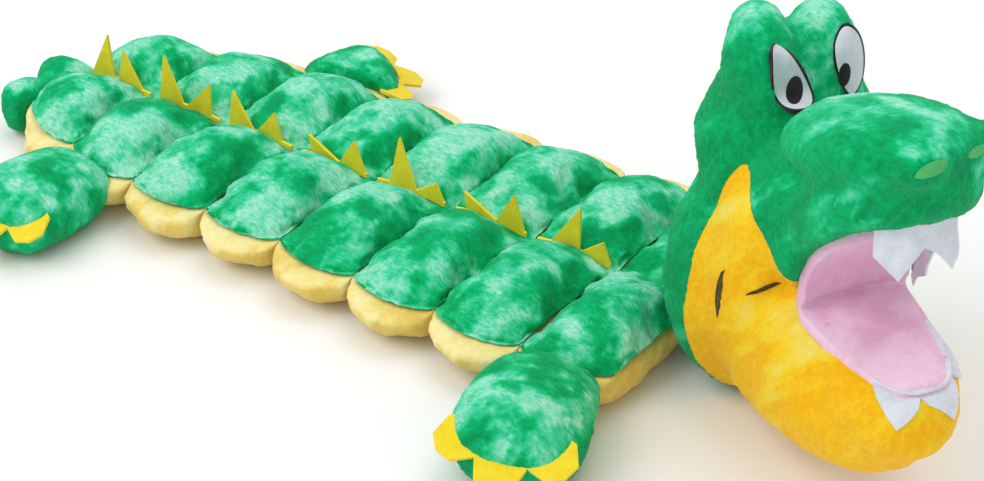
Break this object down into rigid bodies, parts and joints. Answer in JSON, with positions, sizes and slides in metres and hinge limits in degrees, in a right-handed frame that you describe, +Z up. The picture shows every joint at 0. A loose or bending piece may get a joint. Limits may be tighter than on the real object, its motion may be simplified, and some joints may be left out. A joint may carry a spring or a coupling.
{
  "type": "plush alligator dog toy",
  "caption": "Soft plush alligator dog toy: a long flat body quilted into squeaker pockets, a raised head with an open mouth, stubby legs, felt spikes, claws and teeth.",
  "frame": {"origin": "centre of the bounding box's bottom face, on the floor that the toy lies on", "axes": "+X from the tail to the head along the body, +Y to the animal's left, +Z up"},
  "size_m": [0.7076, 0.4046, 0.2621],
  "materials": {
    "green_plush": "short brushed pile",
    "belly_plush": "short brushed pile",
    "head_plush": "short brushed pile",
    "yellow_felt": "matt felt",
    "pink_lining": "smooth knitted cloth",
    "white_felt": "matt felt",
    "eye_felt": "matt felt with a black outline and pupil",
    "squeaker_plastic": "moulded, translucent white"
  },
  "bodies": {
    "row_8": {"row_8_back": "green_plush", "row_8_belly": "belly_plush", "squeaker_8_left": "squeaker_plastic", "squeaker_8_right": "squeaker_plastic"},
    "row_7": {"row_7_back": "green_plush", "row_7_belly": "belly_plush", "squeaker_7_left": "squeaker_plastic", "squeaker_7_right": "squeaker_plastic", "spine_spikes_7": "yellow_felt"},
    "row_6": {"row_6_back": "green_plush", "row_6_belly": "belly_plush", "squeaker_6_left": "squeaker_plastic", "squeaker_6_right": "squeaker_plastic", "spine_spikes_6": "yellow_felt"},
    "row_5": {"row_5_back": "green_plush", "row_5_belly": "belly_plush", "squeaker_5_left": "squeaker_plastic", "squeaker_5_right": "squeaker_plastic", "spine_spikes_5": "yellow_felt"},
    "row_4": {"row_4_back": "green_plush", "row_4_belly": "belly_plush", "squeaker_4_left": "squeaker_plastic", "squeaker_4_right": "squeaker_plastic", "spine_spikes_4": "yellow_felt"},
    "row_3": {"row_3_back": "green_plush", "row_3_belly": "belly_plush", "squeaker_3_left": "squeaker_plastic", "squeaker_3_right": "squeaker_plastic", "spine_spikes_3": "yellow_felt"},
    "row_2": {"row_2_back": "green_plush", "row_2_belly": "belly_plush", "squeaker_2_left": "squeaker_plastic", "squeaker_2_right": "squeaker_plastic", "spine_spikes_2": "yellow_felt"},
    "row_1": {"row_1_back": "green_plush", "row_1_belly": "belly_plush", "squeaker_1_left": "squeaker_plastic", "squeaker_1_right": "squeaker_plastic", "spine_spikes_1": "yellow_felt"},
    "tail": {"tail": "green_plush"},
    "hind_leg_right": {"hind_leg_right": "green_plush", "hind_claws_right": "yellow_felt"},
    "hind_leg_left": {"hind_leg_left": "green_plush", "hind_claws_left": "yellow_felt"},
    "front_leg_right": {"front_leg_right": "green_plush", "front_claws_right": "yellow_felt"},
    "front_leg_left": {"front_leg_left": "green_plush", "front_claws_left": "yellow_felt"},
    "neck": {"neck": "green_plush"},
    "head": {"crown": "green_plush", "collar": "green_plush", "throat": "head_plush", "palate": "pink_lining", "upper_teeth": "white_felt", "eye_left": "eye_felt", "eye_right": "eye_felt"},
    "jaw": {"jaw": "head_plush", "jaw_lining": "pink_lining", "lower_teeth": "white_felt"}
  },
  "joints": [
    {"name": "seam_7_fold", "type": "hinge", "parent": "row_8", "child": "row_7", "pos_m": [0.10336, 0, 0.029], "axis": [0.1096, 0.994, 0], "range_deg": [-18, 18]},
    {"name": "seam_6_fold", "type": "hinge", "parent": "row_7", "child": "row_6", "pos_m": [0.04336, 0, 0.029], "axis": [0.1116, 0.9938, 0], "range_deg": [-18, 18]},
    {"name": "seam_5_fold", "type": "hinge", "parent": "row_6", "child": "row_5", "pos_m": [-0.01664, 0, 0.029], "axis": [0.1137, 0.9935, 0], "range_deg": [-18, 18]},
    {"name": "seam_4_fold", "type": "hinge", "parent": "row_5", "child": "row_4", "pos_m": [-0.07664, 0, 0.029], "axis": [0.1218, 0.9926, 0], "range_deg": [-18, 18]},
    {"name": "seam_3_fold", "type": "hinge", "parent": "row_4", "child": "row_3", "pos_m": [-0.13664, 0, 0.029], "axis": [0.1243, 0.9922, 0], "range_deg": [-18, 18]},
    {"name": "seam_2_fold", "type": "hinge", "parent": "row_3", "child": "row_2", "pos_m": [-0.19664, 0, 0.029], "axis": [0.1243, 0.9922, 0], "range_deg": [-12, 18]},
    {"name": "seam_1_fold", "type": "hinge", "parent": "row_2", "child": "row_1", "pos_m": [-0.25664, 0, 0.029], "axis": [0.1437, 0.9896, 0], "range_deg": [-18, 18]},
    {"name": "tail_fold", "type": "hinge", "parent": "row_1", "child": "tail", "pos_m": [-0.3221, -0.024, 0.029], "axis": [0.2232, 0.9748, 0], "range_deg": [-20, 20]},
    {"name": "hind_leg_right_fold", "type": "hinge", "parent": "row_2", "child": "hind_leg_right", "pos_m": [-0.24264, -0.08395, 0.029], "axis": [1, 0, 0], "range_deg": [-18, 5]},
    {"name": "hind_leg_left_fold", "type": "hinge", "parent": "row_2", "child": "hind_leg_left", "pos_m": [-0.19264, 0.08447, 0.029], "axis": [1, 0, 0], "range_deg": [-5, 18]},
    {"name": "front_leg_right_fold", "type": "hinge", "parent": "row_8", "child": "front_leg_right", "pos_m": [0.11856, -0.09871, 0.029], "axis": [1, 0, 0], "range_deg": [-18, 5]},
    {"name": "front_leg_left_fold", "type": "hinge", "parent": "row_8", "child": "front_leg_left", "pos_m": [0.13856, 0.09871, 0.029], "axis": [1, 0, 0], "range_deg": [-5, 18]},
    {"name": "head_turn", "type": "hinge", "parent": "row_8", "child": "neck", "pos_m": [0.19136, 0, 0], "axis": [0, 0, 1], "range_deg": [-10, 60]},
    {"name": "head_nod", "type": "hinge", "parent": "neck", "child": "head", "pos_m": [0.19136, 0, 0.0415], "axis": [0.5592, 0.829, 0], "range_deg": [-18, 10]},
    {"name": "jaw_close", "type": "hinge", "parent": "head", "child": "jaw", "pos_m": [0.27675, -0.0576, 0.111], "axis": [-0.5592, -0.829, 0], "range_deg": [0, 35]}
  ]
}
